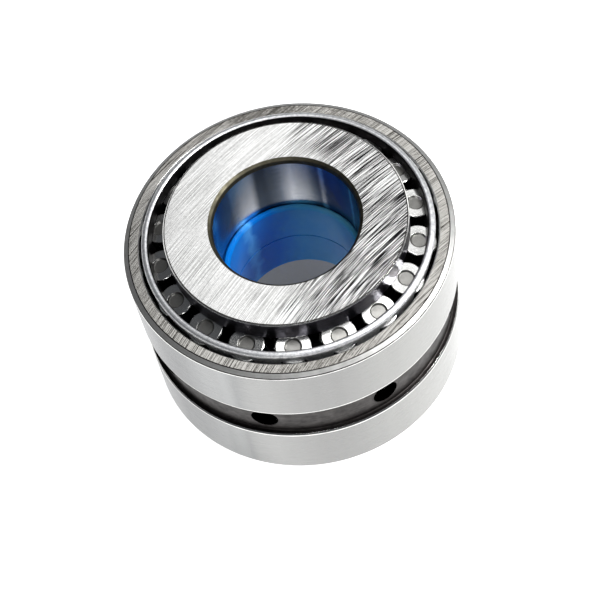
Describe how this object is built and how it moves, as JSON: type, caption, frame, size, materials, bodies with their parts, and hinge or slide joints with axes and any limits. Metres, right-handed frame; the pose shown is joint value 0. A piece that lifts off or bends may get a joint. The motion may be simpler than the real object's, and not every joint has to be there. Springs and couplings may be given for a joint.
{
  "type": "double-row tapered roller bearing",
  "caption": "Double-row tapered roller bearing: a wide outer ring with an oil groove, two cones, caged tapered rollers and a blue plastic sleeve in the bore.",
  "frame": {"origin": "centre of the bearing, on its axis and midway between the two cone faces", "axes": "+Z along the bearing axis, from the lower cone to the upper cone"},
  "size_m": [0.08, 0.08, 0.056],
  "materials": {
    "ring_steel": "ground bearing steel, satin",
    "cone_steel": "ground bearing steel, bright, with a straight lay",
    "roller_steel": "superfinished bearing steel",
    "cage_steel": "pressed sheet steel, tumbled",
    "spacer_steel": "turned steel",
    "sleeve_plastic": "moulded blue polyethylene, glossy"
  },
  "bodies": {
    "outer_ring": {"outer_ring": "ring_steel"},
    "inner_set": {"upper_cone": "cone_steel", "lower_cone": "cone_steel", "cone_spacer": "spacer_steel", "retaining_sleeve": "sleeve_plastic"},
    "upper_cage": {"upper_cage": "cage_steel"},
    "lower_cage": {"lower_cage": "cage_steel"},
    "upper_roller_01": {"upper_roller_01": "roller_steel"},
    "upper_roller_02": {"upper_roller_02": "roller_steel"},
    "upper_roller_03": {"upper_roller_03": "roller_steel"},
    "upper_roller_04": {"upper_roller_04": "roller_steel"},
    "upper_roller_05": {"upper_roller_05": "roller_steel"},
    "upper_roller_06": {"upper_roller_06": "roller_steel"},
    "upper_roller_07": {"upper_roller_07": "roller_steel"},
    "upper_roller_08": {"upper_roller_08": "roller_steel"},
    "upper_roller_09": {"upper_roller_09": "roller_steel"},
    "upper_roller_10": {"upper_roller_10": "roller_steel"},
    "upper_roller_11": {"upper_roller_11": "roller_steel"},
    "upper_roller_12": {"upper_roller_12": "roller_steel"},
    "upper_roller_13": {"upper_roller_13": "roller_steel"},
    "upper_roller_14": {"upper_roller_14": "roller_steel"},
    "upper_roller_15": {"upper_roller_15": "roller_steel"},
    "upper_roller_16": {"upper_roller_16": "roller_steel"},
    "upper_roller_17": {"upper_roller_17": "roller_steel"},
    "upper_roller_18": {"upper_roller_18": "roller_steel"},
    "lower_roller_01": {"lower_roller_01": "roller_steel"},
    "lower_roller_02": {"lower_roller_02": "roller_steel"},
    "lower_roller_03": {"lower_roller_03": "roller_steel"},
    "lower_roller_04": {"lower_roller_04": "roller_steel"},
    "lower_roller_05": {"lower_roller_05": "roller_steel"},
    "lower_roller_06": {"lower_roller_06": "roller_steel"},
    "lower_roller_07": {"lower_roller_07": "roller_steel"},
    "lower_roller_08": {"lower_roller_08": "roller_steel"},
    "lower_roller_09": {"lower_roller_09": "roller_steel"},
    "lower_roller_10": {"lower_roller_10": "roller_steel"},
    "lower_roller_11": {"lower_roller_11": "roller_steel"},
    "lower_roller_12": {"lower_roller_12": "roller_steel"},
    "lower_roller_13": {"lower_roller_13": "roller_steel"},
    "lower_roller_14": {"lower_roller_14": "roller_steel"},
    "lower_roller_15": {"lower_roller_15": "roller_steel"},
    "lower_roller_16": {"lower_roller_16": "roller_steel"},
    "lower_roller_17": {"lower_roller_17": "roller_steel"},
    "lower_roller_18": {"lower_roller_18": "roller_steel"}
  },
  "joints": [
    {"name": "inner_spin", "type": "hinge", "parent": "outer_ring", "child": "inner_set", "pos_m": [0, 0, 0], "axis": [0, 0, 1], "continuous": true},
    {"name": "upper_cage_spin", "type": "hinge", "parent": "outer_ring", "child": "upper_cage", "pos_m": [0, 0, 0.022], "axis": [0, 0, 1], "continuous": true},
    {"name": "upper_roller_01_spin", "type": "hinge", "parent": "upper_cage", "child": "upper_roller_01", "pos_m": [0.03138, 0.0011, 0.022], "axis": [0.1821, 0.0064, 0.9833], "continuous": true},
    {"name": "upper_roller_02_spin", "type": "hinge", "parent": "upper_cage", "child": "upper_roller_02", "pos_m": [0.02912, 0.01176, 0.022], "axis": [0.169, 0.0683, 0.9833], "continuous": true},
    {"name": "upper_roller_03_spin", "type": "hinge", "parent": "upper_cage", "child": "upper_roller_03", "pos_m": [0.02334, 0.02101, 0.022], "axis": [0.1354, 0.1219, 0.9833], "continuous": true},
    {"name": "upper_roller_04_spin", "type": "hinge", "parent": "upper_cage", "child": "upper_roller_04", "pos_m": [0.01474, 0.02773, 0.022], "axis": [0.0856, 0.1609, 0.9833], "continuous": true},
    {"name": "upper_roller_05_spin", "type": "hinge", "parent": "upper_cage", "child": "upper_roller_05", "pos_m": [0.00437, 0.0311, 0.022], "axis": [0.0254, 0.1805, 0.9833], "continuous": true},
    {"name": "upper_roller_06_spin", "type": "hinge", "parent": "upper_cage", "child": "upper_roller_06", "pos_m": [-0.00653, 0.03072, 0.022], "axis": [-0.0379, 0.1783, 0.9833], "continuous": true},
    {"name": "upper_roller_07_spin", "type": "hinge", "parent": "upper_cage", "child": "upper_roller_07", "pos_m": [-0.01664, 0.02663, 0.022], "axis": [-0.0966, 0.1545, 0.9833], "continuous": true},
    {"name": "upper_roller_08_spin", "type": "hinge", "parent": "upper_cage", "child": "upper_roller_08", "pos_m": [-0.02475, 0.01933, 0.022], "axis": [-0.1436, 0.1122, 0.9833], "continuous": true},
    {"name": "upper_roller_09_spin", "type": "hinge", "parent": "upper_cage", "child": "upper_roller_09", "pos_m": [-0.02987, 0.0097, 0.022], "axis": [-0.1733, 0.0563, 0.9833], "continuous": true},
    {"name": "upper_roller_10_spin", "type": "hinge", "parent": "upper_cage", "child": "upper_roller_10", "pos_m": [-0.03138, -0.0011, 0.022], "axis": [-0.1821, -0.0064, 0.9833], "continuous": true},
    {"name": "upper_roller_11_spin", "type": "hinge", "parent": "upper_cage", "child": "upper_roller_11", "pos_m": [-0.02912, -0.01176, 0.022], "axis": [-0.169, -0.0683, 0.9833], "continuous": true},
    {"name": "upper_roller_12_spin", "type": "hinge", "parent": "upper_cage", "child": "upper_roller_12", "pos_m": [-0.02334, -0.02101, 0.022], "axis": [-0.1354, -0.1219, 0.9833], "continuous": true},
    {"name": "upper_roller_13_spin", "type": "hinge", "parent": "upper_cage", "child": "upper_roller_13", "pos_m": [-0.01474, -0.02773, 0.022], "axis": [-0.0856, -0.1609, 0.9833], "continuous": true},
    {"name": "upper_roller_14_spin", "type": "hinge", "parent": "upper_cage", "child": "upper_roller_14", "pos_m": [-0.00437, -0.0311, 0.022], "axis": [-0.0254, -0.1805, 0.9833], "continuous": true},
    {"name": "upper_roller_15_spin", "type": "hinge", "parent": "upper_cage", "child": "upper_roller_15", "pos_m": [0.00653, -0.03072, 0.022], "axis": [0.0379, -0.1783, 0.9833], "continuous": true},
    {"name": "upper_roller_16_spin", "type": "hinge", "parent": "upper_cage", "child": "upper_roller_16", "pos_m": [0.01664, -0.02663, 0.022], "axis": [0.0966, -0.1545, 0.9833], "continuous": true},
    {"name": "upper_roller_17_spin", "type": "hinge", "parent": "upper_cage", "child": "upper_roller_17", "pos_m": [0.02475, -0.01933, 0.022], "axis": [0.1436, -0.1122, 0.9833], "continuous": true},
    {"name": "upper_roller_18_spin", "type": "hinge", "parent": "upper_cage", "child": "upper_roller_18", "pos_m": [0.02987, -0.0097, 0.022], "axis": [0.1733, -0.0563, 0.9833], "continuous": true},
    {"name": "lower_cage_spin", "type": "hinge", "parent": "outer_ring", "child": "lower_cage", "pos_m": [0, 0, -0.022], "axis": [0, 0, 1], "continuous": true},
    {"name": "lower_roller_01_spin", "type": "hinge", "parent": "lower_cage", "child": "lower_roller_01", "pos_m": [0.03072, 0.00653, -0.022], "axis": [-0.1783, -0.0379, 0.9833], "continuous": true},
    {"name": "lower_roller_02_spin", "type": "hinge", "parent": "lower_cage", "child": "lower_roller_02", "pos_m": [0.02663, 0.01664, -0.022], "axis": [-0.1545, -0.0966, 0.9833], "continuous": true},
    {"name": "lower_roller_03_spin", "type": "hinge", "parent": "lower_cage", "child": "lower_roller_03", "pos_m": [0.01933, 0.02475, -0.022], "axis": [-0.1122, -0.1436, 0.9833], "continuous": true},
    {"name": "lower_roller_04_spin", "type": "hinge", "parent": "lower_cage", "child": "lower_roller_04", "pos_m": [0.0097, 0.02987, -0.022], "axis": [-0.0563, -0.1733, 0.9833], "continuous": true},
    {"name": "lower_roller_05_spin", "type": "hinge", "parent": "lower_cage", "child": "lower_roller_05", "pos_m": [-0.0011, 0.03138, -0.022], "axis": [0.0064, -0.1821, 0.9833], "continuous": true},
    {"name": "lower_roller_06_spin", "type": "hinge", "parent": "lower_cage", "child": "lower_roller_06", "pos_m": [-0.01176, 0.02912, -0.022], "axis": [0.0683, -0.169, 0.9833], "continuous": true},
    {"name": "lower_roller_07_spin", "type": "hinge", "parent": "lower_cage", "child": "lower_roller_07", "pos_m": [-0.02101, 0.02334, -0.022], "axis": [0.1219, -0.1354, 0.9833], "continuous": true},
    {"name": "lower_roller_08_spin", "type": "hinge", "parent": "lower_cage", "child": "lower_roller_08", "pos_m": [-0.02773, 0.01474, -0.022], "axis": [0.1609, -0.0856, 0.9833], "continuous": true},
    {"name": "lower_roller_09_spin", "type": "hinge", "parent": "lower_cage", "child": "lower_roller_09", "pos_m": [-0.0311, 0.00437, -0.022], "axis": [0.1805, -0.0254, 0.9833], "continuous": true},
    {"name": "lower_roller_10_spin", "type": "hinge", "parent": "lower_cage", "child": "lower_roller_10", "pos_m": [-0.03072, -0.00653, -0.022], "axis": [0.1783, 0.0379, 0.9833], "continuous": true},
    {"name": "lower_roller_11_spin", "type": "hinge", "parent": "lower_cage", "child": "lower_roller_11", "pos_m": [-0.02663, -0.01664, -0.022], "axis": [0.1545, 0.0966, 0.9833], "continuous": true},
    {"name": "lower_roller_12_spin", "type": "hinge", "parent": "lower_cage", "child": "lower_roller_12", "pos_m": [-0.01933, -0.02475, -0.022], "axis": [0.1122, 0.1436, 0.9833], "continuous": true},
    {"name": "lower_roller_13_spin", "type": "hinge", "parent": "lower_cage", "child": "lower_roller_13", "pos_m": [-0.0097, -0.02987, -0.022], "axis": [0.0563, 0.1733, 0.9833], "continuous": true},
    {"name": "lower_roller_14_spin", "type": "hinge", "parent": "lower_cage", "child": "lower_roller_14", "pos_m": [0.0011, -0.03138, -0.022], "axis": [-0.0064, 0.1821, 0.9833], "continuous": true},
    {"name": "lower_roller_15_spin", "type": "hinge", "parent": "lower_cage", "child": "lower_roller_15", "pos_m": [0.01176, -0.02912, -0.022], "axis": [-0.0683, 0.169, 0.9833], "continuous": true},
    {"name": "lower_roller_16_spin", "type": "hinge", "parent": "lower_cage", "child": "lower_roller_16", "pos_m": [0.02101, -0.02334, -0.022], "axis": [-0.1219, 0.1354, 0.9833], "continuous": true},
    {"name": "lower_roller_17_spin", "type": "hinge", "parent": "lower_cage", "child": "lower_roller_17", "pos_m": [0.02773, -0.01474, -0.022], "axis": [-0.1609, 0.0856, 0.9833], "continuous": true},
    {"name": "lower_roller_18_spin", "type": "hinge", "parent": "lower_cage", "child": "lower_roller_18", "pos_m": [0.0311, -0.00437, -0.022], "axis": [-0.1805, 0.0254, 0.9833], "continuous": true}
  ],
  "couplings": [
    {"joint": "upper_cage_spin", "follows": "inner_spin", "ratio": 0.4319},
    {"joint": "upper_roller_01_spin", "follows": "inner_spin", "ratio": -3.5426},
    {"joint": "upper_roller_02_spin", "follows": "inner_spin", "ratio": -3.5426},
    {"joint": "upper_roller_03_spin", "follows": "inner_spin", "ratio": -3.5426},
    {"joint": "upper_roller_04_spin", "follows": "inner_spin", "ratio": -3.5426},
    {"joint": "upper_roller_05_spin", "follows": "inner_spin", "ratio": -3.5426},
    {"joint": "upper_roller_06_spin", "follows": "inner_spin", "ratio": -3.5426},
    {"joint": "upper_roller_07_spin", "follows": "inner_spin", "ratio": -3.5426},
    {"joint": "upper_roller_08_spin", "follows": "inner_spin", "ratio": -3.5426},
    {"joint": "upper_roller_09_spin", "follows": "inner_spin", "ratio": -3.5426},
    {"joint": "upper_roller_10_spin", "follows": "inner_spin", "ratio": -3.5426},
    {"joint": "upper_roller_11_spin", "follows": "inner_spin", "ratio": -3.5426},
    {"joint": "upper_roller_12_spin", "follows": "inner_spin", "ratio": -3.5426},
    {"joint": "upper_roller_13_spin", "follows": "inner_spin", "ratio": -3.5426},
    {"joint": "upper_roller_14_spin", "follows": "inner_spin", "ratio": -3.5426},
    {"joint": "upper_roller_15_spin", "follows": "inner_spin", "ratio": -3.5426},
    {"joint": "upper_roller_16_spin", "follows": "inner_spin", "ratio": -3.5426},
    {"joint": "upper_roller_17_spin", "follows": "inner_spin", "ratio": -3.5426},
    {"joint": "upper_roller_18_spin", "follows": "inner_spin", "ratio": -3.5426},
    {"joint": "lower_cage_spin", "follows": "inner_spin", "ratio": 0.4319},
    {"joint": "lower_roller_01_spin", "follows": "inner_spin", "ratio": -3.5426},
    {"joint": "lower_roller_02_spin", "follows": "inner_spin", "ratio": -3.5426},
    {"joint": "lower_roller_03_spin", "follows": "inner_spin", "ratio": -3.5426},
    {"joint": "lower_roller_04_spin", "follows": "inner_spin", "ratio": -3.5426},
    {"joint": "lower_roller_05_spin", "follows": "inner_spin", "ratio": -3.5426},
    {"joint": "lower_roller_06_spin", "follows": "inner_spin", "ratio": -3.5426},
    {"joint": "lower_roller_07_spin", "follows": "inner_spin", "ratio": -3.5426},
    {"joint": "lower_roller_08_spin", "follows": "inner_spin", "ratio": -3.5426},
    {"joint": "lower_roller_09_spin", "follows": "inner_spin", "ratio": -3.5426},
    {"joint": "lower_roller_10_spin", "follows": "inner_spin", "ratio": -3.5426},
    {"joint": "lower_roller_11_spin", "follows": "inner_spin", "ratio": -3.5426},
    {"joint": "lower_roller_12_spin", "follows": "inner_spin", "ratio": -3.5426},
    {"joint": "lower_roller_13_spin", "follows": "inner_spin", "ratio": -3.5426},
    {"joint": "lower_roller_14_spin", "follows": "inner_spin", "ratio": -3.5426},
    {"joint": "lower_roller_15_spin", "follows": "inner_spin", "ratio": -3.5426},
    {"joint": "lower_roller_16_spin", "follows": "inner_spin", "ratio": -3.5426},
    {"joint": "lower_roller_17_spin", "follows": "inner_spin", "ratio": -3.5426},
    {"joint": "lower_roller_18_spin", "follows": "inner_spin", "ratio": -3.5426}
  ]
}
